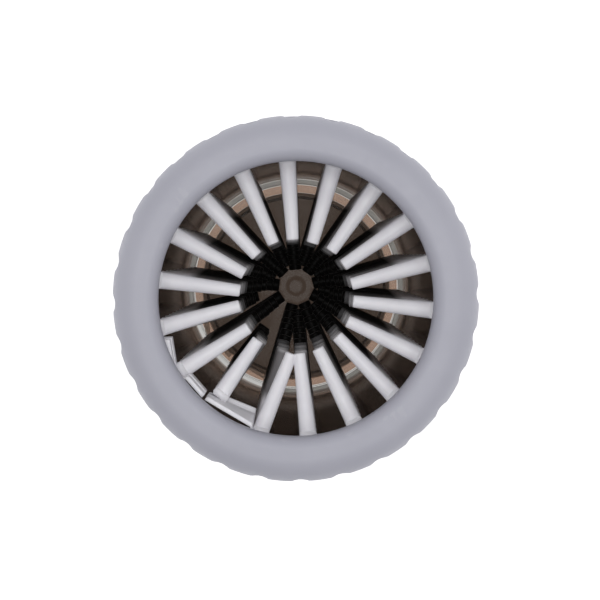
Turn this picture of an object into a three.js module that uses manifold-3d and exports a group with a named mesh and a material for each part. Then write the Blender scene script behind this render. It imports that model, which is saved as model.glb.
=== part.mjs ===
// Paw-washing cup: a tapered cup on a foot ring, a screw collar, and a lift-out brush insert.
// Millimetres, +Z up. The origin is the centre of the foot, on the surface the cup stands on.
import * as THREE from 'three';
import { mergeVertices } from 'three/addons/utils/BufferGeometryUtils.js';
import Module from 'manifold-3d';

const wasm = await Module();
wasm.setup();

// Driving dimensions.
const HEIGHT = 150;
const GAP = 0.3;
const SLIVER = 0.03;
const TURN = Math.PI * 2;
const CUP_SEGMENTS = 48;

// Cup: r is a radius, z a height.
const CUP = { rim: 139, neck: 122.8, mouth: 46.0, neckOuter: 47.6, inFoot: 37.8, outFoot: 40.0 };
const FLOOR = { top: 8.4, step: 7.4, under: 5, wallStart: 11.5 };
const FOOT = { inner: 32.8, outer: 35.4, height: 2.6, baseZ: 1, recessTop: 3 };

// Collar.
const COLLAR = { bottom: 124, crest: 55.0, bead: 55.2, aperture: 41.3, bore: 49.6, ceiling: 141.5 };
const FLUTES = 28;
const FLUTE = { radius: 4.55, depth: 0.85, from: 131.5, firstDeg: 1.44, sides: 12 };
const COLLAR_SEGMENTS = FLUTES * 2;

// Three-start thread: each ridge covers a part turn, so a third of a turn frees the collar.
const THREAD = {
  starts: 3, lead: 15, firstDeg: 5, arcDeg: 100, z: 130, root: 1.9, tip: 1.0, height: 1.5, steps: 10,
};
const THREAD_OFFSET = THREAD.root + 0.35;

// Brush insert: strips of bristles held by two open bands, rolled into a ring with a seam.
// The columns are evenly pitched from one side of the seam round to the other; the seam takes a wider step.
const STRIPS = 18;
const FIRST_STRIP_DEG = 232.5;
const STRIP_PITCH_DEG = 19.84;
const ROWS = 11;
const ROW = { top: 126, bottom: 18.5, shortBottom: 23.9 };
const BRISTLE = { rootR: 2.62, tipR: 1.85, sides: 6 };
// Radius of the bristle tips: the top row, then the lowest row of a long and of a short column.
// The first and third columns, beside the seam, stop further out.
const TIP = { top: 17.4, longBottom: 5.8, shortBottom: 7.6, firstBottom: 17.0, thirdBottom: 13.4 };
// The backs slope between the bands: slopeTop and slopeBottom are the heights where they meet them.
const STRIP = { width: 6, thick: 2.2, top: 129.5, bottom: 14, slopeTop: 138, slopeBottom: 12, halfDeg: 6 };
const BAND = { outer: 45.4, thick: 1.4, bottom: 121, top: 141.2, steps: 56 };
const HEM = { outer: 46.9, bottom: 139.3 };
const LOW_BAND = { outer: 37.2, bottom: 11.8, top: 17.0 };
const SEAM = {
  deg: 227.25, gapDeg: 1.5, endRadius: 41.3, chordBefore: 12, chordAfter: 24.4, flatBefore: 30, flatAfter: 31,
};

const rad = (degrees) => THREE.MathUtils.degToRad(degrees);

function material(color, roughness, extra = {}) {
  return new THREE.MeshStandardMaterial({ color, roughness, metalness: 0, ...extra });
}

const collarPlastic = material(0xaaaab2, 0.55);
const smokedPlastic = material(0x3a2e29, 0.15, { transparent: true, opacity: 0.6 });
const silicone = material(0xc3c3cb, 0.5);
const footRubber = material(0x9a8673, 0.7);

// A closed three.js geometry as a solid, and back.
function solid(geometry) {
  const bare = geometry.clone();
  bare.deleteAttribute('normal');
  bare.deleteAttribute('uv');
  const merged = mergeVertices(bare, 1e-4);
  const vertProperties = new Float32Array(merged.attributes.position.array);
  const triVerts = new Uint32Array(merged.index.array);
  return new wasm.Manifold(new wasm.Mesh({ numProp: 3, vertProperties, triVerts }));
}

function geometryOf(body) {
  const mesh = body.simplify(SLIVER).getMesh();
  const raw = new THREE.BufferGeometry();
  raw.setAttribute('position', new THREE.BufferAttribute(new Float32Array(mesh.vertProperties), 3));
  raw.setIndex(new THREE.BufferAttribute(new Uint32Array(mesh.triVerts), 1));
  return withoutSlivers(raw);
}

// Joins vertices closer than SLIVER and drops the triangles that this closes up.
function withoutSlivers(raw) {
  const geometry = mergeVertices(raw, SLIVER);
  const corners = geometry.index.array;
  const kept = [];
  for (let i = 0; i < corners.length; i += 3) {
    const [a, b, c] = [corners[i], corners[i + 1], corners[i + 2]];
    if (a !== b && b !== c && c !== a) kept.push(a, b, c);
  }
  geometry.setIndex(kept);
  geometry.computeVertexNormals();
  return geometry;
}

function named(name, geometry, look) {
  const mesh = new THREE.Mesh(geometry, look);
  mesh.name = name;
  return mesh;
}

// Turns a profile of [radius, height] points about Z. It runs up the outside and down the inside.
function turned(profile, segments) {
  const points = profile.map(([r, z]) => new THREE.Vector2(r, z));
  return new THREE.LatheGeometry(points, segments).rotateX(Math.PI / 2);
}

// Points of a circular arc in the profile plane, angles in degrees from the +r direction.
function arc(r, z, radius, fromDeg, toDeg, steps) {
  const points = [];
  for (let i = 0; i <= steps; i += 1) {
    const a = rad(fromDeg + ((toDeg - fromDeg) * i) / steps);
    points.push([r + radius * Math.cos(a), z + radius * Math.sin(a)]);
  }
  return points;
}

// One thread ridge: a straight trapezium bar wrapped round the Z axis and raised along its helix.
// side is +1 for a ridge that stands out of a shaft and -1 for one inside a bore.
function ridge(radius, side, start, z) {
  const embed = 0.4;
  const shape = new THREE.Shape();
  shape.moveTo(-embed, -THREAD.root / 2);
  shape.lineTo(THREAD.height, -THREAD.tip / 2);
  shape.lineTo(THREAD.height, THREAD.tip / 2);
  shape.lineTo(-embed, THREAD.root / 2);
  shape.closePath();
  const geometry = new THREE.ExtrudeGeometry(shape, { depth: 1, steps: THREAD.steps, bevelEnabled: false });
  const position = geometry.attributes.position;
  for (let i = 0; i < position.count; i += 1) {
    const along = position.getZ(i);
    const turn = THREAD.arcDeg * along;
    const r = radius + side * position.getX(i);
    const a = rad(THREAD.firstDeg + (360 / THREAD.starts) * start + turn);
    const height = z - side * position.getY(i) + (THREAD.lead * turn) / 360;
    position.setXYZ(i, r * Math.cos(a), r * Math.sin(a), height);
  }
  return solid(geometry);
}

function threaded(body, radius, side, z) {
  let result = body;
  for (let start = 0; start < THREAD.starts; start += 1) {
    result = result.add(ridge(radius, side, start, z));
  }
  return result;
}

// Cup: foot rim with a recess for the foot ring, punt, tapered wall, stop bead, threaded neck, stepped floor.
function makeCup() {
  const beadZ = CUP.neck - 2.3;
  const profile = [
    [0, FLOOR.under], [30.4, FLOOR.under], [31.4, FOOT.baseZ],
    [FOOT.inner - 0.4, FOOT.baseZ], [FOOT.inner - 0.4, FOOT.recessTop],
    [FOOT.outer + 0.4, FOOT.recessTop], [FOOT.outer + 0.4, FOOT.baseZ],
    [CUP.outFoot - 1.4, FOOT.baseZ], [CUP.outFoot, FOOT.baseZ + 1.8],
    [48.3, beadZ - 1.5], [49.6, beadZ], [49.6, beadZ + 1.5], [CUP.neckOuter, CUP.neck],
    [CUP.neckOuter, CUP.rim - 0.6], [CUP.neckOuter - 0.5, CUP.rim], [CUP.mouth + 0.4, CUP.rim],
    [CUP.mouth, CUP.rim - 0.5], [CUP.mouth, beadZ],
    [CUP.inFoot, FLOOR.wallStart], [CUP.inFoot - 0.6, 9.5], [35.7, FLOOR.top + 0.2],
    [35.5, FLOOR.step], [33.0, FLOOR.step], [32.6, FLOOR.top], [0, FLOOR.top],
  ];
  const body = threaded(solid(turned(profile, CUP_SEGMENTS)), CUP.neckOuter, 1, THREAD.z);
  return named('cup', geometryOf(body), smokedPlastic);
}

function makeFootRing() {
  const { inner, outer, height } = FOOT;
  const profile = [
    [inner + 0.4, 0], [outer - 0.4, 0], [outer, 0.4], [outer, height],
    [inner, height], [inner, 0.4], [inner + 0.4, 0],
  ];
  return named('foot_ring', turned(profile, CUP_SEGMENTS), footRubber);
}

// Collar: fluted skirt with a lower bead, broad rounded top, aperture and internal thread.
function makeCollar() {
  const { bottom, crest, bead, aperture, bore, ceiling } = COLLAR;
  const shoulder = 7.2;
  const lip = 4.6;
  const profile = [
    [bore + 0.6, bottom], [bead - 0.8, bottom], [bead, bottom + 1.2], [bead, bottom + 4.2],
    [crest + 0.1, bottom + 6.6],
    ...arc(crest - shoulder, HEIGHT - shoulder, shoulder, 0, 90, 4),
    ...arc(aperture + lip, HEIGHT - lip, lip, 90, 180, 3),
    [aperture, ceiling + 0.5], [aperture + 0.5, ceiling],
    [bore, ceiling], [bore, bottom + 0.6], [bore + 0.6, bottom],
  ];
  const blank = turned(profile, COLLAR_SEGMENTS).rotateZ(rad(FLUTE.firstDeg));
  let body = threaded(solid(blank), bore, -1, THREAD.z - THREAD_OFFSET);
  const length = HEIGHT - FLUTE.from + 2;
  for (let i = 0; i < FLUTES; i += 1) {
    const a = rad(FLUTE.firstDeg) + (TURN * i) / FLUTES;
    const reach = crest - FLUTE.depth + FLUTE.radius;
    const cutter = new THREE.CylinderGeometry(FLUTE.radius, FLUTE.radius, length, FLUTE.sides);
    cutter.rotateX(Math.PI / 2).rotateZ(a + Math.PI / FLUTE.sides);
    cutter.translate(reach * Math.cos(a), reach * Math.sin(a), FLUTE.from + length / 2);
    body = body.subtract(solid(cutter));
  }
  return named('collar', geometryOf(body), collarPlastic);
}

// Radius on the straight line between two radii that are spanDeg apart, atDeg round from the first.
function chord(r0, r1, spanDeg, atDeg) {
  const top = r0 * r1 * Math.sin(rad(spanDeg));
  return top / (r1 * Math.sin(rad(atDeg)) + r0 * Math.sin(rad(spanDeg - atDeg)));
}

// Radius of the insert at an angle, as a share of full: 1 round the ring, less on the flats at the seam.
function seamShare(deg) {
  const away = ((deg - SEAM.deg + 540) % 360) - 180;
  const short = away < 0 ? SEAM.chordBefore : SEAM.chordAfter;
  const flat = away < 0 ? SEAM.flatBefore : SEAM.flatAfter;
  const from = Math.abs(away);
  if (from >= flat) return 1;
  if (from >= short) return chord(SEAM.endRadius, BAND.outer, flat - short, from - short) / BAND.outer;
  return chord(SEAM.endRadius, SEAM.endRadius, short, from) / BAND.outer;
}

// An open band seen in plan: a C that stops either side of the seam, following its flats.
function band(outer, thick, bottom, top, marginDeg, steps) {
  const from = SEAM.deg + SEAM.gapDeg / 2 + marginDeg;
  const sweep = 360 - SEAM.gapDeg - 2 * marginDeg;
  const outside = [];
  const inside = [];
  for (let i = 0; i <= steps; i += 1) {
    const deg = from + (sweep * i) / steps;
    const r = outer * seamShare(deg);
    outside.push(new THREE.Vector2(r * Math.cos(rad(deg)), r * Math.sin(rad(deg))));
    inside.push(new THREE.Vector2((r - thick) * Math.cos(rad(deg)), (r - thick) * Math.sin(rad(deg))));
  }
  const shape = new THREE.Shape([...outside, ...inside.reverse()]);
  const geometry = new THREE.ExtrudeGeometry(shape, { depth: top - bottom, bevelEnabled: false });
  return solid(geometry.translate(0, 0, bottom));
}

// Top band with the hem that hangs on the cup's rim; the hem stops before the seam's flats.
function makeTopBand() {
  const wall = band(BAND.outer, BAND.thick, BAND.bottom, BAND.top, 0, BAND.steps);
  const hemMargin = SEAM.flatAfter + 3;
  const hemThick = HEM.outer - BAND.outer + BAND.thick / 2;
  const hem = band(HEM.outer, hemThick, HEM.bottom, BAND.top, hemMargin, BAND.steps);
  return named('brush_top_band', geometryOf(wall.add(hem)), silicone);
}

function makeBottomBand() {
  const body = band(LOW_BAND.outer, BAND.thick, LOW_BAND.bottom, LOW_BAND.top, 0, BAND.steps);
  return named('brush_bottom_band', geometryOf(body), silicone);
}

// One strip in the X-Z plane: a sloping backing and a column of tapered bristles pointing at the axis.
// Every second strip is long: its lower bristles reach closer to the centre than its neighbours', and lie between
// them in height.
function makeStrip(index) {
  const long = index % 2 === 1;
  const deg = (FIRST_STRIP_DEG - STRIP_PITCH_DEG * index + 360) % 360;
  const share = Math.min(seamShare(deg - STRIP.halfDeg), seamShare(deg), seamShare(deg + STRIP.halfDeg));
  const backTop = BAND.outer * share - BAND.thick - GAP;
  const backBottom = LOW_BAND.outer * share - BAND.thick - 3 * GAP;
  const slope = (backTop - backBottom) / (STRIP.slopeTop - STRIP.slopeBottom);
  const backAt = (z) => backBottom + slope * (z - STRIP.slopeBottom);
  const side = new THREE.Shape([
    new THREE.Vector2(backAt(STRIP.bottom) - STRIP.thick, STRIP.bottom),
    new THREE.Vector2(backAt(STRIP.bottom), STRIP.bottom),
    new THREE.Vector2(backAt(STRIP.top), STRIP.top),
    new THREE.Vector2(backAt(STRIP.top) - STRIP.thick, STRIP.top),
  ]);
  const backing = new THREE.ExtrudeGeometry(side, { depth: STRIP.width, bevelEnabled: false });
  backing.translate(0, 0, -STRIP.width / 2).rotateX(Math.PI / 2);
  let body = solid(backing);
  const shortTips = { 0: TIP.firstBottom, 2: TIP.thirdBottom };
  const tipBottom = long ? TIP.longBottom : shortTips[index] ?? TIP.shortBottom;
  const rowBottom = long ? ROW.bottom : ROW.shortBottom;
  for (let row = 0; row < ROWS; row += 1) {
    const down = row / (ROWS - 1);
    const z = ROW.top + (rowBottom - ROW.top) * down;
    const tip = TIP.top + (tipBottom - TIP.top) * down * down;
    const root = backAt(z) - STRIP.thick / 2;
    const rod = new THREE.CylinderGeometry(BRISTLE.tipR, BRISTLE.rootR, root - tip, BRISTLE.sides);
    rod.rotateY(Math.PI / 2).rotateZ(Math.PI / 2).translate((root + tip) / 2, 0, z);
    body = body.add(solid(rod));
  }
  const name = `brush_strip_${String(index + 1).padStart(2, '0')}`;
  const mesh = named(name, geometryOf(body), silicone);
  mesh.rotation.z = rad(deg);
  return mesh;
}

function makeInsert() {
  const insert = new THREE.Group();
  insert.add(makeTopBand(), makeBottomBand());
  for (let index = 0; index < STRIPS; index += 1) {
    insert.add(makeStrip(index));
  }
  return insert;
}

const group = new THREE.Group();
group.add(makeCup(), makeFootRing(), makeInsert(), makeCollar());

export default group;
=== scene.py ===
"""Looks of the paw-washing cup: a smoked cup, a fluted screw collar and a silicone brush insert.

Sizes are in millimetres in the helpers and metres in Blender and in the materials. Angles are in degrees,
counter-clockwise from +X seen from above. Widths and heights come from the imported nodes' boxes.
"""
import math

import bpy
import numpy as np
from mathutils import Matrix, Vector


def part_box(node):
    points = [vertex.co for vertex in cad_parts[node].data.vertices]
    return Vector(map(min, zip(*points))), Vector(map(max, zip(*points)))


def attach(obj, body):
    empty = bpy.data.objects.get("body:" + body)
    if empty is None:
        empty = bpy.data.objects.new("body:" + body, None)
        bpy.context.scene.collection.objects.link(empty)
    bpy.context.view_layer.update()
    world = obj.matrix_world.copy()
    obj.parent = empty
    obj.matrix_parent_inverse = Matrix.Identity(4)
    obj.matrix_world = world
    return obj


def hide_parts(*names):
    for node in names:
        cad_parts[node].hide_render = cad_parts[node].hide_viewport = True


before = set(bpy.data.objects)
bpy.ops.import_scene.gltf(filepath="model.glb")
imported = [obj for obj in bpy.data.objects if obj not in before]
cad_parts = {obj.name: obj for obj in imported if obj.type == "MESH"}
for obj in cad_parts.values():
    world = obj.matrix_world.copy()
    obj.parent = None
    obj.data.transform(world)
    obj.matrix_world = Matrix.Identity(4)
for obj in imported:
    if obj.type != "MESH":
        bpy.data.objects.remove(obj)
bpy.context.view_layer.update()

MM = 0.001


def node_box(name):
    """Radius, lowest and highest z of a round node, in millimetres."""
    low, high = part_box(name)
    return (high[0] - low[0]) / 2 / MM, low[2] / MM, high[2] / MM


BEAD_R, COLLAR_LOW, TOP = node_box("collar")
STOP_R, BASE, RIM = node_box("cup")
FOOT_R, _, FOOT_TOP = node_box("foot_ring")
_, BAND_LOW, BAND_TOP = node_box("brush_top_band")
_, LOW_BAND_LOW, LOW_BAND_TOP = node_box("brush_bottom_band")
_, STRIP_LOW, STRIP_TOP = node_box("brush_strip_01")

# Collar.
CREST = BEAD_R - 0.2
APERTURE = 41.3
BORE = 49.6
CEILING = TOP - 8.5
SHOULDER = 7.2
LIP = 3.8
FLUTES = 28
FLUTE_R, FLUTE_DEPTH, FLUTE_FIRST = 4.55, 0.85, 1.44
FLUTE_LOW = COLLAR_LOW + 7.5

# Thread.
STARTS, LEAD, ARC, ARC_FIRST = 3, 15.0, 100.0, 5.0
ROOT_W, TIP_W, RIDGE = 1.9, 1.0, 1.5
CUP_THREAD_Z = 130.0
COLLAR_THREAD_Z = CUP_THREAD_Z - ROOT_W - 0.35

# Cup.
MOUTH, NECK_R, IN_FOOT, OUT_FOOT = 46.0, 47.6, 37.8, 40.0
NECK_LOW = 122.8
FLOOR_TOP, FLOOR_STEP, UNDER = 8.4, 7.4, 5.0

# Brush insert.
STRIPS, ROWS = 18, 11
FIRST_STRIP, PITCH = 232.5, 19.84
ROW_TOP, ROW_LOW, ROW_LOW_SHORT = 126.0, 18.5, 23.9
ROOT_R, TIP_R = 2.62, 1.85
TIP_TOP, TIP_LONG, TIP_SHORT = 17.4, 5.8, 7.6
TIP_BY_SEAM = {0: 17.0, 2: 13.4}
BAND_OUT, BAND_THICK, HEM_OUT = 45.4, 1.4, 46.9
LOW_OUT = 37.2
STRIP_W, STRIP_T = 5.0, 2.2
BACK_LOW, BACK_TOP = 12.0, 138.0
# Sideways drift of each column's top bristle tip, counter-clockwise. The second row, and all below that, keep
# only a share of it.
DRIFT = (
    -1.3, 0.3, -1.4, 0.1, 0.6, 0.0, -0.35, -0.3, -0.45,
    -0.45, -0.2, -0.4, 0.15, 0.3, 0.35, -0.5, -0.45, 3.3,
)
DRIFT_SHARE = (1.0, 0.25, 0.1)
SEAM, SEAM_GAP, SEAM_END = 227.25, 1.5, 41.3
# Degrees from the seam. One flat ends at CHORD_BEFORE, clockwise of it, and one at FLAT_AFTER, past it.
# From CHORD_BEFORE the insert stands out to full radius and comes back in to SEAM_END by FLAT_BEFORE.
CHORD_BEFORE, FLAT_BEFORE, FLAT_AFTER = 12.0, 30.0, 24.4
HEM_LOW = 139.3
GROOVE_TOP, GROOVE_LOW, LOWER_GROOVE_TOP, LIP_TOP = 133.6, 131.6, 124.6, 122.2

# Painted shade on the silicone below the top row, in metres: the heights and radii between which each part of
# it fades.
# The rods are painted darker with depth, down to BLACK; their tips are painted paler, as painted light, and
# fade the same way. GLOSS_DEPTH takes the shine off with depth.
PAINTED_SHADE_DEPTH, PAINTED_SHADE_TOP, GLOSS_DEPTH = (0.078, 0.118), (0.1200, 0.1238), (0.09, 0.122)
PAINTED_LIGHT_TIPS, PAINTED_SHADE_BACKS = (0.0168, 0.0182), (0.031, 0.034)
BLACK = (0.005, 0.0045, 0.004)

# Rings in the tint of the cup's floor, in metres.
FLOOR_FADE, RIM_RING = (0.0108, 0.0122), (0.0374, 0.0377)
TAN_RING, DISC_RING = (0.0352, 0.0356), (0.0325, 0.0328)

NOISE_ROUGHNESS = 0.55
PLASTIC_IOR = 1.49


# ---------------------------------------------------------------- mesh helpers

def make_object(name, verts_mm, faces, materials):
    mesh = bpy.data.meshes.new(name)
    mesh.from_pydata((np.asarray(verts_mm) * MM).tolist(), [], faces)
    mesh.validate()
    for polygon in mesh.polygons:
        polygon.use_smooth = True
    for material in materials:
        mesh.materials.append(material)
    piece = bpy.data.objects.new(name, mesh)
    bpy.context.scene.collection.objects.link(piece)
    return piece


def grid_faces(rows, cols, wrap_rows=False):
    """Quads of a rows x cols grid of vertices, closed round each row, wound so that rows x cols faces out."""
    faces = []
    for i in range(rows if wrap_rows else rows - 1):
        for j in range(cols):
            a, b = i * cols, (i + 1) % rows * cols
            c, d = j, (j + 1) % cols
            faces.append((a + c, a + d, b + d, b + c))
    return faces


def arc(r, z, radius, start, end, steps):
    a = np.radians(np.linspace(start, end, steps + 1))
    return np.stack([r + radius * np.cos(a), z + radius * np.sin(a)], 1)


def line(r0, z0, r1, z1, steps):
    t = np.linspace(0, 1, steps + 1)[:, None]
    return np.array([[r0, z0]]) * (1 - t) + np.array([[r1, z1]]) * t


def joined(*parts):
    """Profile points in order, without repeats."""
    points = np.vstack(parts)
    keep = [0]
    for i in range(1, len(points)):
        if np.hypot(*(points[i] - points[keep[-1]])) > 0.02:
            keep.append(i)
    return points[keep]


def turned(name, profile, columns, shape, materials):
    """Turns a profile about Z. shape(degrees, r, z) gives each point's own radius.

    Closed profiles wrap; a profile that starts and ends on the axis gets one vertex at each pole.
    """
    degrees = np.linspace(0, 360, columns, endpoint=False)
    r = shape(degrees[None, :], profile[:, :1], profile[:, 1:])
    a = np.radians(degrees)[None, :]
    z = np.broadcast_to(profile[:, 1:], r.shape)
    verts = np.stack([r * np.cos(a), r * np.sin(a), z], 2)
    on_axis = profile[0, 0] < 0.01 and profile[-1, 0] < 0.01
    if not on_axis:
        faces = grid_faces(len(profile), columns, wrap_rows=True)
        return make_object(name, verts.reshape(-1, 3), faces, materials)
    body = verts[1:-1].reshape(-1, 3)
    count = len(profile) - 2
    poles = [[0, 0, profile[0, 1]], [0, 0, profile[-1, 1]]]
    faces = grid_faces(count, columns)
    low, high = len(body), len(body) + 1
    last = (count - 1) * columns
    for j in range(columns):
        k = (j + 1) % columns
        faces.append((low, k, j))
        faces.append((high, last + j, last + k))
    return make_object(name, np.vstack([body, poles]), faces, materials)


def smooth(t):
    t = np.clip(t, 0, 1)
    return t * t * (3 - 2 * t)


def ridge_height(degrees, z, first_z):
    """Height of the three-start thread at an angle and z; its ends fade out."""
    height = np.zeros(np.broadcast(degrees, z).shape)
    for start in range(STARTS):
        along = (degrees - ARC_FIRST - start * 360 / STARTS) % 360
        centre = first_z + LEAD * along / 360
        across = (ROOT_W / 2 - np.abs(z - centre)) / ((ROOT_W - TIP_W) / 2)
        ends = smooth(along / 6) * smooth((ARC - along) / 6) * (along < ARC)
        height = np.maximum(height, RIDGE * smooth(across) * ends)
    return height


# ---------------------------------------------------------------- materials

def node_material(name):
    material = bpy.data.materials.new(name)
    material.use_nodes = True
    tree = material.node_tree
    tree.nodes.clear()
    output = tree.nodes.new("ShaderNodeOutputMaterial")
    return material, tree, output


def add(tree, kind, **values):
    node = tree.nodes.new(kind)
    for key, value in values.items():
        if key in node.inputs:
            node.inputs[key].default_value = value
        else:
            setattr(node, key, value)
    return node


def noise(tree, coords, scale, detail):
    node = add(tree, "ShaderNodeTexNoise")
    node.inputs["Scale"].default_value = scale
    node.inputs["Detail"].default_value = detail
    node.inputs["Roughness"].default_value = NOISE_ROUGHNESS
    tree.links.new(coords, node.inputs["Vector"])
    return node.outputs["Fac"]


def ranged(tree, value, low, high, from_low=0.3, from_high=0.7):
    node = add(tree, "ShaderNodeMapRange")
    node.inputs["From Min"].default_value = from_low
    node.inputs["From Max"].default_value = from_high
    node.inputs["To Min"].default_value = low
    node.inputs["To Max"].default_value = high
    tree.links.new(value, node.inputs["Value"])
    return node.outputs["Result"]


def mixed(tree, factor, first, second):
    """A colour between two; each is a tuple or a socket."""
    node = add(tree, "ShaderNodeMix", data_type="RGBA")
    tree.links.new(factor, node.inputs["Factor"])
    for socket, value in ((node.inputs[6], first), (node.inputs[7], second)):
        if isinstance(value, tuple):
            socket.default_value = (*value, 1)
        else:
            tree.links.new(value, socket)
    return node.outputs[2]


def bumped(tree, value, strength, distance, normal=None):
    node = add(tree, "ShaderNodeBump")
    node.inputs["Strength"].default_value = strength
    node.inputs["Distance"].default_value = distance
    tree.links.new(value, node.inputs["Height"])
    if normal is not None:
        tree.links.new(normal, node.inputs["Normal"])
    return node.outputs["Normal"]


def object_coords(tree):
    return add(tree, "ShaderNodeTexCoord").outputs["Object"]


def round_coords(tree, coords):
    """Distance from the Z axis and height, in metres."""
    flat = add(tree, "ShaderNodeVectorMath", operation="MULTIPLY")
    flat.inputs[1].default_value = (1, 1, 0)
    tree.links.new(coords, flat.inputs[0])
    length = add(tree, "ShaderNodeVectorMath", operation="LENGTH")
    tree.links.new(flat.outputs[0], length.inputs[0])
    split = add(tree, "ShaderNodeSeparateXYZ")
    tree.links.new(coords, split.inputs[0])
    return length.outputs["Value"], split.outputs["Z"]


def see_through(tree, output, shader, tint, share):
    """Lets tinted light through; share is how much of the solid shader stays."""
    clear = add(tree, "ShaderNodeBsdfTransparent")
    clear.inputs["Color"].default_value = (*tint, 1)
    mix = add(tree, "ShaderNodeMixShader")
    mix.inputs[0].default_value = share
    tree.links.new(clear.outputs[0], mix.inputs[1])
    tree.links.new(shader.outputs[0], mix.inputs[2])
    tree.links.new(mix.outputs[0], output.inputs["Surface"])


def collar_plastic():
    """Cool grey moulded plastic: fine satin grain, faint mottling, sharp edges a little paler."""
    material, tree, output = node_material("collar_plastic")
    coords = object_coords(tree)
    shader = add(tree, "ShaderNodeBsdfPrincipled")
    mottle = ranged(tree, noise(tree, coords, 55, 3), 0, 1)
    base = mixed(tree, mottle, (0.425, 0.425, 0.49), (0.45, 0.45, 0.515))
    # Sharp edges, found by pointiness, are made a little paler.
    edge = add(tree, "ShaderNodeNewGeometry").outputs["Pointiness"]
    paler_edges = ranged(tree, edge, 0, 0.35, 0.515, 0.56)
    base = mixed(tree, paler_edges, base, (0.5, 0.5, 0.55))
    tree.links.new(base, shader.inputs["Base Color"])
    rough = ranged(tree, noise(tree, coords, 420, 5), 0.46, 0.6)
    tree.links.new(rough, shader.inputs["Roughness"])
    grain = bumped(tree, noise(tree, coords, 3200, 2), 0.25, 0.00006)
    waves = bumped(tree, noise(tree, coords, 60, 2), 0.1, 0.0004, grain)
    tree.links.new(waves, shader.inputs["Normal"])
    tree.links.new(shader.outputs[0], output.inputs["Surface"])
    return material


def brush_silicone(name, painted_shade):
    """Pale grey silicone: soft gloss, faint dust, slight translucency.

    With painted shade it is painted darker below the top row, with paler painted light on the row tips, and
    loses its shine there; without, it is mostly see-through.
    """
    material, tree, output = node_material(name)
    coords = object_coords(tree)
    shader = add(tree, "ShaderNodeBsdfPrincipled")
    shader.inputs["Subsurface Weight"].default_value = 0.08
    shader.inputs["Subsurface Radius"].default_value = (1.0, 0.9, 0.85)
    shader.inputs["Subsurface Scale"].default_value = 0.0012
    shader.inputs["Sheen Weight"].default_value = 0.05
    cloud = ranged(tree, noise(tree, coords, 140, 4), 0, 1)
    base = mixed(tree, cloud, (0.82, 0.81, 0.85), (0.87, 0.86, 0.89))
    dust = ranged(tree, noise(tree, coords, 1900, 2), 0, 0.35, 0.66, 0.74)
    base = mixed(tree, dust, base, (0.91, 0.91, 0.92))
    if painted_shade:
        # Painted shade: below the top row the rods darken with depth towards BLACK, the tips stay paler as
        # painted light, and the shine fades out.
        radius, height = round_coords(tree, coords)
        depth = ranged(tree, height, 0, 1, *PAINTED_SHADE_DEPTH)
        rods = mixed(tree, depth, BLACK, (0.21, 0.20, 0.205))
        tips = mixed(tree, depth, BLACK, (0.60, 0.59, 0.61))
        painted_shading = mixed(tree, ranged(tree, radius, 0, 1, *PAINTED_LIGHT_TIPS), tips, rods)
        painted_shading = mixed(tree, ranged(tree, radius, 0, 1, *PAINTED_SHADE_BACKS), painted_shading, base)
        base = mixed(tree, ranged(tree, height, 0, 1, *PAINTED_SHADE_TOP), painted_shading, base)
        tree.links.new(ranged(tree, height, 0.08, 0.5, *GLOSS_DEPTH), shader.inputs["Specular IOR Level"])
    tree.links.new(base, shader.inputs["Base Color"])
    rough = ranged(tree, noise(tree, coords, 300, 4), 0.38, 0.55)
    tree.links.new(rough, shader.inputs["Roughness"])
    grain = bumped(tree, noise(tree, coords, 1400, 3), 0.2, 0.00008)
    tree.links.new(grain, shader.inputs["Normal"])
    if painted_shade:
        tree.links.new(shader.outputs[0], output.inputs["Surface"])
    else:
        see_through(tree, output, shader, (0.86, 0.85, 0.83), 0.3)
    return material


def cup_smoke():
    """Smoked see-through plastic: a brown tint that lets light through, under a glossy skin.

    The tint is deeper along the wall than through it, and has paler rings in the floor.
    """
    material, tree, output = node_material("cup_smoke")
    coords = object_coords(tree)
    clear = add(tree, "ShaderNodeBsdfTransparent")
    tint = ranged(tree, noise(tree, coords, 30, 3), 0, 1)
    along = mixed(tree, tint, (0.26, 0.21, 0.185), (0.31, 0.25, 0.22))
    square = mixed(tree, tint, (0.44, 0.39, 0.36), (0.48, 0.43, 0.40))
    facing = add(tree, "ShaderNodeLayerWeight", Blend=0.5).outputs["Facing"]
    wall = mixed(tree, ranged(tree, facing, 0, 1, 0.35, 0.8), square, along)
    radius, height = round_coords(tree, coords)
    low = ranged(tree, height, 1, 0, *FLOOR_FADE)
    rim = mixed(tree, ranged(tree, radius, 0, 1, *RIM_RING), (0.92, 0.92, 0.91), wall)
    tan = mixed(tree, ranged(tree, radius, 0, 1, *TAN_RING), (0.93, 0.90, 0.88), rim)
    disc = mixed(tree, ranged(tree, radius, 0, 1, *DISC_RING), (0.29, 0.245, 0.215), tan)
    tree.links.new(mixed(tree, low, wall, disc), clear.inputs["Color"])
    gloss = add(tree, "ShaderNodeBsdfPrincipled")
    gloss.inputs["Base Color"].default_value = (0.09, 0.07, 0.06, 1)
    gloss.inputs["IOR"].default_value = PLASTIC_IOR
    rough = ranged(tree, noise(tree, coords, 260, 5), 0.12, 0.17)
    tree.links.new(rough, gloss.inputs["Roughness"])
    waves = bumped(tree, noise(tree, coords, 45, 2), 0.12, 0.0006)
    tree.links.new(waves, gloss.inputs["Normal"])
    fresnel = add(tree, "ShaderNodeFresnel")
    fresnel.inputs["IOR"].default_value = PLASTIC_IOR
    tree.links.new(waves, fresnel.inputs["Normal"])
    share = ranged(tree, fresnel.outputs[0], 0.10, 0.95, 0.0, 1.0)
    mix = add(tree, "ShaderNodeMixShader")
    tree.links.new(share, mix.inputs[0])
    tree.links.new(clear.outputs[0], mix.inputs[1])
    tree.links.new(gloss.outputs[0], mix.inputs[2])
    tree.links.new(mix.outputs[0], output.inputs["Surface"])
    return material


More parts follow.
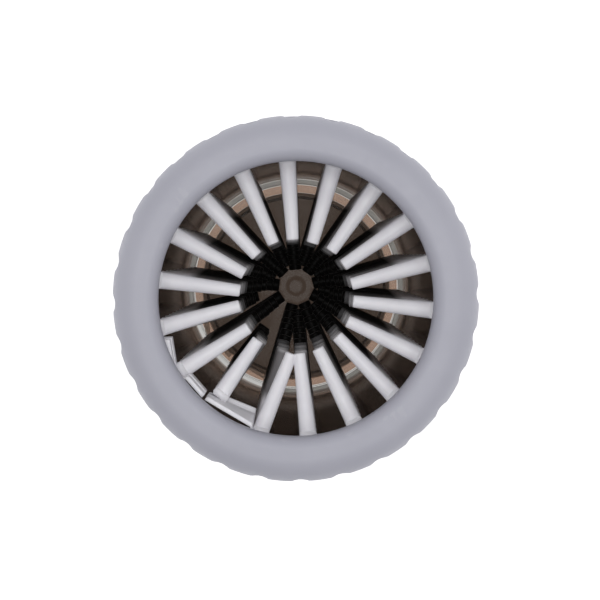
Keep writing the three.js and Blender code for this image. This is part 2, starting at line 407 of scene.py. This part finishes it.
def foot_rubber():
    """Tan see-through rubber with a fine sandy grain."""
    material, tree, output = node_material("foot_rubber")
    coords = object_coords(tree)
    shader = add(tree, "ShaderNodeBsdfPrincipled")
    cloud = ranged(tree, noise(tree, coords, 180, 4), 0, 1)
    tree.links.new(mixed(tree, cloud, (0.42, 0.32, 0.23), (0.48, 0.37, 0.27)), shader.inputs["Base Color"])
    rough = ranged(tree, noise(tree, coords, 700, 3), 0.6, 0.8)
    tree.links.new(rough, shader.inputs["Roughness"])
    tree.links.new(bumped(tree, noise(tree, coords, 2600, 3), 0.4, 0.0001), shader.inputs["Normal"])
    see_through(tree, output, shader, (0.90, 0.78, 0.70), 0.2)
    return material


# ---------------------------------------------------------------- collar

def collar_profile():
    shoulder_z = TOP - SHOULDER
    thread_steps = int((CEILING - COLLAR_LOW - 1) / 0.35)
    return joined(
        arc(BORE + 0.6, COLLAR_LOW + 0.6, 0.6, 180, 270, 4),
        line(BORE + 0.6, COLLAR_LOW, BEAD_R - 1.0, COLLAR_LOW, 6),
        arc(BEAD_R - 1.0, COLLAR_LOW + 1.0, 1.0, 270, 360, 6),
        line(BEAD_R, COLLAR_LOW + 1.0, BEAD_R, COLLAR_LOW + 4.0, 5),
        arc(BEAD_R - 1.0, COLLAR_LOW + 4.0, 1.0, 0, 50, 5),
        line(CREST + 0.1, COLLAR_LOW + 5.4, CREST + 0.06, COLLAR_LOW + 7.2, 6),
        line(CREST + 0.05, COLLAR_LOW + 7.3, CREST, shoulder_z, 26),
        arc(CREST - SHOULDER, shoulder_z, SHOULDER, 0, 90, 30),
        arc(APERTURE + LIP, TOP - LIP, LIP, 90, 180, 20),
        line(APERTURE, TOP - LIP, APERTURE, CEILING + 0.5, 5),
        arc(APERTURE + 0.5, CEILING + 0.5, 0.5, 180, 270, 4),
        line(APERTURE + 0.5, CEILING, BORE - 0.4, CEILING, 8),
        arc(BORE - 0.4, CEILING - 0.4, 0.4, 90, 0, 3),
        line(BORE, CEILING - 0.5, BORE, COLLAR_LOW + 0.6, thread_steps),
    )


def collar_shape(degrees, r, z):
    """Flutes outside, thread ridges inside."""
    reach = CREST - FLUTE_DEPTH + FLUTE_R
    pitch = 360 / FLUTES
    away = np.radians((degrees - FLUTE_FIRST + pitch / 2) % pitch - pitch / 2)
    inside = FLUTE_R ** 2 - (reach * np.sin(away)) ** 2
    cut = np.where(inside > 0, reach * np.cos(away) - np.sqrt(np.maximum(inside, 0)), 1e3)
    cut = cut + np.maximum(FLUTE_LOW - z, 0) ** 2 * 0.9
    blend = 0.10
    gap = np.clip((cut - r) / blend, -40, 40)
    fluted = r - blend * np.log1p(np.exp(-gap))
    outer = (r > CREST - SHOULDER) & (z > COLLAR_LOW + 5)
    threads = (np.abs(r - BORE) < 0.05) & (z < CEILING - 0.4)
    result = np.where(outer, fluted, np.broadcast_to(r, fluted.shape))
    return np.where(threads, result - ridge_height(degrees, z, COLLAR_THREAD_Z), result)


def make_collar(material):
    piece = turned("collar_shell", collar_profile(), FLUTES * 16, collar_shape, [material])
    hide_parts("collar")
    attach(piece, "collar")


# ---------------------------------------------------------------- cup

def cup_profile():
    bead_z = NECK_LOW - 2.3
    seat_in, seat_out, seat_top = FOOT_R - 3.0, FOOT_R + 0.4, FOOT_TOP + 0.4
    return joined(
        [[0, UNDER + 0.2]],
        line(0.4, UNDER + 0.2, 2.2, UNDER + 0.2, 2), line(2.5, UNDER, 30.0, UNDER, 14),
        arc(30.0, UNDER - 0.8, 0.8, 90, 10, 4), line(30.9, 3.6, 31.4, BASE + 0.3, 4),
        arc(31.7, BASE + 0.3, 0.3, 180, 270, 3),
        line(31.8, BASE, seat_in, BASE, 2), line(seat_in, BASE + 0.1, seat_in, seat_top, 4),
        line(seat_in + 0.1, seat_top, seat_out, seat_top, 6),
        line(seat_out, seat_top - 0.1, seat_out, BASE, 4),
        line(seat_out + 0.1, BASE, OUT_FOOT - 1.8, BASE, 3),
        arc(OUT_FOOT - 1.8, BASE + 1.8, 1.8, 270, 356, 8),
        line(OUT_FOOT, BASE + 1.9, 48.3, bead_z - 1.5, 60),
        arc(STOP_R - 0.75, bead_z + 0.6, 0.75, -90, 90, 8),
        line(NECK_R + 0.2, NECK_LOW - 0.4, NECK_R, NECK_LOW, 3),
        line(NECK_R, NECK_LOW, NECK_R, RIM - 0.8, int((RIM - NECK_LOW) / 0.35)),
        arc(NECK_R - 0.7, RIM - 0.7, 0.7, 0, 90, 6),
        arc(MOUTH + 0.6, RIM - 0.6, 0.6, 90, 180, 6),
        line(MOUTH, RIM - 0.7, MOUTH, bead_z, 12),
        line(MOUTH, bead_z, IN_FOOT, 11.8, 60),
        arc(IN_FOOT - 2.4, 11.0, 2.4, 0, -80, 10),
        line(35.9, FLOOR_TOP + 0.15, 35.6, FLOOR_TOP, 2), line(35.4, FLOOR_STEP, 33.0, FLOOR_STEP, 6),
        line(32.7, FLOOR_TOP - 0.1, 32.3, FLOOR_TOP, 2), line(32.0, FLOOR_TOP, 3.0, FLOOR_TOP + 0.35, 30),
        line(2.6, FLOOR_TOP + 0.15, 0.3, FLOOR_TOP + 0.15, 3), [[0, FLOOR_TOP + 0.15]],
    )


def cup_shape(degrees, r, z):
    neck = (np.abs(r - NECK_R) < 0.01) & (z > NECK_LOW)
    plain = np.broadcast_to(r, np.broadcast(degrees, r).shape)
    return np.where(neck, plain + ridge_height(degrees, z, CUP_THREAD_Z), plain)


def make_cup(material):
    piece = turned("cup_shell", cup_profile(), 288, cup_shape, [material])
    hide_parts("cup")
    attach(piece, "cup")


def make_foot(material):
    """The non-slip ring, with fine radial ribs on its underside."""
    ribs, rib_depth, underside = 72, 0.00025, 0.0003
    inner, outer = FOOT_R - 2.6, FOOT_R
    profile = joined(
        line(inner + 0.5, 0, outer - 0.5, 0, 8), arc(outer - 0.5, 0.5, 0.5, 270, 360, 4),
        line(outer, 0.5, outer, FOOT_TOP - 0.3, 5), arc(outer - 0.3, FOOT_TOP - 0.3, 0.3, 0, 90, 3),
        line(outer - 0.3, FOOT_TOP, inner + 0.3, FOOT_TOP, 6),
        arc(inner + 0.3, FOOT_TOP - 0.3, 0.3, 90, 180, 3),
        line(inner, FOOT_TOP - 0.3, inner, 0.5, 5), arc(inner + 0.5, 0.5, 0.5, 180, 260, 4),
    )
    piece = turned("foot_pad", profile, 288, lambda degrees, r, z: r + 0 * degrees, [material])
    for vertex in piece.data.vertices:
        x, y, z = vertex.co
        if z < underside:
            rib = 0.5 + 0.5 * math.cos(ribs * math.atan2(y, x))
            vertex.co.z = z + rib_depth * rib
    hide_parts("foot_ring")
    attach(piece, "cup")


# ---------------------------------------------------------------- brush insert

def chord(r0, r1, span, at):
    """Radius on the straight line between r1, at 0 degrees, and r0, at span degrees."""
    top = r0 * r1 * math.sin(math.radians(span))
    return top / (r1 * math.sin(math.radians(at)) + r0 * math.sin(math.radians(span - at)))


def from_seam(degrees):
    """Degrees from the seam, from -180 to 180, counter-clockwise."""
    return (degrees - SEAM + 540) % 360 - 180


def seam_share(degrees):
    """The insert's radius at an angle as a share of full: 1 round the ring, less at the seam."""
    away = from_seam(degrees)
    short, flat = (CHORD_BEFORE, FLAT_BEFORE) if away < 0 else (FLAT_AFTER, FLAT_AFTER)
    if abs(away) >= flat:
        return 1.0
    if abs(away) >= short:
        return chord(SEAM_END, BAND_OUT, flat - short, abs(away) - short) / BAND_OUT
    return chord(SEAM_END, SEAM_END, short, abs(away)) / BAND_OUT


def band_piece(name, section, material, stations=240):
    """Sweeps a section round the C-shaped plan. section(degrees) gives (r, z) points in order."""
    first = SEAM + SEAM_GAP / 2
    angles = np.linspace(first, first + 360 - SEAM_GAP, stations)
    rings = []
    for degrees in angles:
        points = section(degrees)
        a = math.radians(degrees)
        rings.append(np.stack([points[:, 0] * math.cos(a), points[:, 0] * math.sin(a), points[:, 1]], 1))
    count = len(rings[0])
    verts = np.vstack(rings)
    faces = [tuple(reversed(f)) for f in grid_faces(stations, count)]
    faces.append(tuple(range(count)))
    last = (stations - 1) * count
    faces.append(tuple(last + i for i in reversed(range(count))))
    return make_object(name, verts, faces, [material])


def rounded(points, radius, steps=3):
    """A closed outline with its corners rounded."""
    points = np.asarray(points, float)
    out = []
    for i, corner in enumerate(points):
        before, after = points[i - 1] - corner, points[(i + 1) % len(points)] - corner
        cut = min(radius, 0.45 * np.hypot(*before), 0.45 * np.hypot(*after))
        start = corner + before / np.hypot(*before) * cut
        end = corner + after / np.hypot(*after) * cut
        for k in range(steps + 1):
            t = k / steps
            out.append((1 - t) ** 2 * start + 2 * t * (1 - t) * corner + t * t * end)
    return np.array(out)


def top_section(degrees):
    """Wall with two grooves, a bar between them and a lip on its inner face, and a hem on the cup's rim.

    On the flat after the seam the upper groove and the bar fade out, the wall leans in and the lip reaches in.
    """
    out = BAND_OUT * seam_share(degrees)
    after = from_seam(degrees)
    hem = (HEM_OUT - BAND_OUT) * smooth((abs(after) - FLAT_AFTER - 3) / 4)
    inner = out - BAND_THICK
    flat = smooth(after / 2) * smooth((FLAT_AFTER + 1 - after) / 1.2)
    tilt = flat * 0.1 * after
    lip = 0.7 * flat * smooth((after - 6) / 2)
    rib = 1 - flat
    return rounded([
        (out - tilt, BAND_LOW),
        (out, HEM_LOW),
        (out + hem + 0.01, HEM_LOW + 0.01),
        (out + hem + 0.01, BAND_TOP),
        (inner, BAND_TOP),
        (inner - 0.35 * tilt, GROOVE_TOP + 0.4),
        (inner + 0.7 * rib - 0.35 * tilt, GROOVE_TOP),
        (inner + 0.7 * rib - 0.45 * tilt, GROOVE_LOW),
        (inner - 0.2 * rib - 0.5 * tilt, GROOVE_LOW - 0.4),
        (inner - 0.2 * rib - 0.7 * tilt, LOWER_GROOVE_TOP + 0.4),
        (inner + 0.6 - 0.8 * tilt, LOWER_GROOVE_TOP),
        (inner + 0.6 - 0.85 * tilt, LIP_TOP + 0.6),
        (inner - 0.1 - tilt - lip, LIP_TOP),
        (inner - 0.1 - tilt - lip, BAND_LOW),
    ], 0.35)


def low_section(degrees):
    out = LOW_OUT * seam_share(degrees)
    inner = out - BAND_THICK
    return rounded([
        (out, LOW_BAND_LOW), (out, LOW_BAND_TOP), (inner, LOW_BAND_TOP), (inner - 0.3, LOW_BAND_TOP - 1.5),
        (inner - 0.3, LOW_BAND_LOW + 1.0), (inner, LOW_BAND_LOW),
    ], 0.35)


def tube(centres, radii, sides):
    """Vertices and faces of a closed tapered rod through centres, ends capped."""
    centres = np.asarray(centres)
    tangents = np.gradient(centres, axis=0)
    tangents /= np.linalg.norm(tangents, axis=1)[:, None]
    up = np.array([0, 0, 1.0])
    side = np.cross(tangents, up)
    side /= np.linalg.norm(side, axis=1)[:, None]
    rise = np.cross(side, tangents)
    a = np.linspace(0, 2 * math.pi, sides, endpoint=False)
    ring = side[:, None, :] * np.cos(a)[None, :, None] + rise[:, None, :] * np.sin(a)[None, :, None]
    verts = centres[:, None, :] + ring * np.asarray(radii)[:, None, None]
    rows = len(centres)
    faces = grid_faces(rows, sides)
    faces.append(tuple(reversed(range(sides))))
    last = (rows - 1) * sides
    faces.append(tuple(last + i for i in range(sides)))
    return verts.reshape(-1, 3), faces


def bristle(root, tip, root_r, tip_r, bend):
    """A tapered rod with a fillet at its root, a slight bow and a flat end with a soft edge."""
    root, tip = np.asarray(root), np.asarray(tip)
    length = np.linalg.norm(tip - root)
    edge, fillet, fillet_fade = 0.4, 0.15, 0.7
    stations = np.concatenate([
        [0.0, 0.25, 0.6, 1.1, 1.8, 2.8], np.linspace(4.2, length - 1.6, 9), [length - edge],
        length - edge + edge * np.sin(np.radians([25, 50, 72, 90])),
    ])
    t = stations / length
    centres = root + (tip - root) * t[:, None] + np.asarray(bend) * (t * t)[:, None]
    radii = root_r + (tip_r - root_r) * t + fillet * np.exp(-stations / fillet_fade)
    over = np.clip((stations - (length - edge)) / edge, 0, 1)
    radii = radii - edge * (1 - np.sqrt(1 - over ** 2 * 0.999))
    return tube(centres, radii, 18)


def strip_piece(index, material, rng):
    degrees = FIRST_STRIP - PITCH * index
    share = seam_share(degrees)
    back_top = BAND_OUT * share - BAND_THICK
    back_low = LOW_OUT * share - BAND_THICK
    a = math.radians(degrees)
    out, side = np.array([math.cos(a), math.sin(a), 0]), np.array([-math.sin(a), math.cos(a), 0])

    def back_at(z):
        return back_low + (back_top - back_low) * (z - BACK_LOW) / (BACK_TOP - BACK_LOW)

    half = STRIP_W / 2
    section = rounded([(-half, 0), (-half, -STRIP_T), (half, -STRIP_T), (half, 0)], 0.7)
    heights = np.linspace(STRIP_LOW + 0.2, STRIP_TOP, 30)
    verts = []
    for z in heights:
        for across, depth in section:
            verts.append(side * across + out * (back_at(z) + depth) + np.array([0, 0, z]))
    faces = grid_faces(len(heights), len(section))
    faces.append(tuple(reversed(range(len(section)))))
    faces.append(tuple((len(heights) - 1) * len(section) + i for i in range(len(section))))
    count = len(verts)

    long = index % 2 == 1
    tip_low = TIP_LONG if long else TIP_BY_SEAM.get(index, TIP_SHORT)
    row_low = ROW_LOW if long else ROW_LOW_SHORT
    for row in range(ROWS):
        down = row / (ROWS - 1)
        z = ROW_TOP + (row_low - ROW_TOP) * down
        reach = TIP_TOP + (tip_low - TIP_TOP) * down * down
        root = out * (back_at(z) - 0.5) + np.array([0, 0, z])
        lean = DRIFT[index] * DRIFT_SHARE[min(row, 2)]
        tip = out * (reach + rng.uniform(-0.3, 0.3)) + side * lean
        tip = tip + np.array([0, 0, z + rng.uniform(-0.4, 0.2)])
        bend = side * rng.uniform(-0.25, 0.25)
        rod, rod_faces = bristle(root, tip, ROOT_R, TIP_R + 0.3 * down, bend)
        verts += list(rod)
        faces += [tuple(count + i for i in f) for f in rod_faces]
        count += len(rod)
    name = f"bristle_column_{index + 1:02d}"
    piece = make_object(name, verts, faces, [material])
    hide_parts(f"brush_strip_{index + 1:02d}")
    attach(piece, "insert")


def make_insert(material, pale):
    top = band_piece("insert_hem", top_section, material)
    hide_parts("brush_top_band")
    low = band_piece("insert_low_band", low_section, pale)
    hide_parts("brush_bottom_band")
    for piece in (top, low):
        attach(piece, "insert")
    rng = np.random.default_rng(7)
    for index in range(STRIPS):
        strip_piece(index, material, rng)


# ---------------------------------------------------------------- stage, light, camera

def make_stage():
    mesh = bpy.data.meshes.new("floor")
    half = 6.0
    corners = [(-half, -half, 0), (half, -half, 0), (half, half, 0), (-half, half, 0)]
    mesh.from_pydata(corners, [], [(0, 1, 2, 3)])
    floor = bpy.data.objects.new("floor", mesh)
    bpy.context.scene.collection.objects.link(floor)
    material, tree, output = node_material("floor_white")
    shader = add(tree, "ShaderNodeBsdfPrincipled")
    shader.inputs["Base Color"].default_value = (0.9, 0.9, 0.9, 1)
    shader.inputs["Roughness"].default_value = 0.9
    shader.inputs["Emission Color"].default_value = (1, 1, 1, 1)
    shader.inputs["Emission Strength"].default_value = 0.7
    tree.links.new(shader.outputs[0], output.inputs["Surface"])
    mesh.materials.append(material)


def area_light(name, place, aim, size, power):
    light = bpy.data.lights.new(name, "AREA")
    light.shape = "RECTANGLE"
    light.size, light.size_y = size
    light.energy = power
    lamp = bpy.data.objects.new(name, light)
    lamp.location = place
    lamp.rotation_euler = (Vector(aim) - Vector(place)).to_track_quat("-Z", "Y").to_euler()
    bpy.context.scene.collection.objects.link(lamp)


def make_light():
    world = bpy.data.worlds.new("studio")
    world.use_nodes = True
    world.node_tree.nodes["Background"].inputs["Color"].default_value = (1, 1, 1, 1)
    world.node_tree.nodes["Background"].inputs["Strength"].default_value = 0.28
    bpy.context.scene.world = world
    area_light("overhead", (0.02, 0.05, 1.5), (0, 0, 0.13), (0.7, 0.7), 7.8)
    area_light("key_left", (-0.8, 0.25, 0.75), (0, 0, 0.13), (0.7, 0.7), 1.2)
    area_light("key_right", (0.85, 0.1, 0.7), (0, 0, 0.13), (0.6, 0.8), 1.6)
    area_light("top_back", (0.0, 0.75, 0.9), (0, 0, 0.13), (0.8, 0.5), 0.6)
    bpy.context.scene.view_settings.view_transform = "Standard"


def make_camera():
    data = bpy.data.cameras.new("camera")
    data.sensor_width = 36
    data.lens = 164.8
    camera = bpy.data.objects.new("camera", data)
    camera.location = (0, 0.0267, TOP * MM + 0.817)
    aim = Vector((0.00123, -0.00045, TOP * MM - 0.009))
    forward = (aim - camera.location).normalized()
    right = forward.cross(Vector((0, 1, 0))).normalized()
    up = right.cross(forward)
    camera.rotation_mode = "QUATERNION"
    camera.rotation_quaternion = Matrix((right, up, -forward)).transposed().to_quaternion()
    bpy.context.scene.collection.objects.link(camera)
    bpy.context.scene.camera = camera


make_stage()
make_light()
make_camera()
make_collar(collar_plastic())
make_cup(cup_smoke())
make_foot(foot_rubber())
make_insert(brush_silicone("brush_silicone", True), brush_silicone("brush_silicone_low", False))
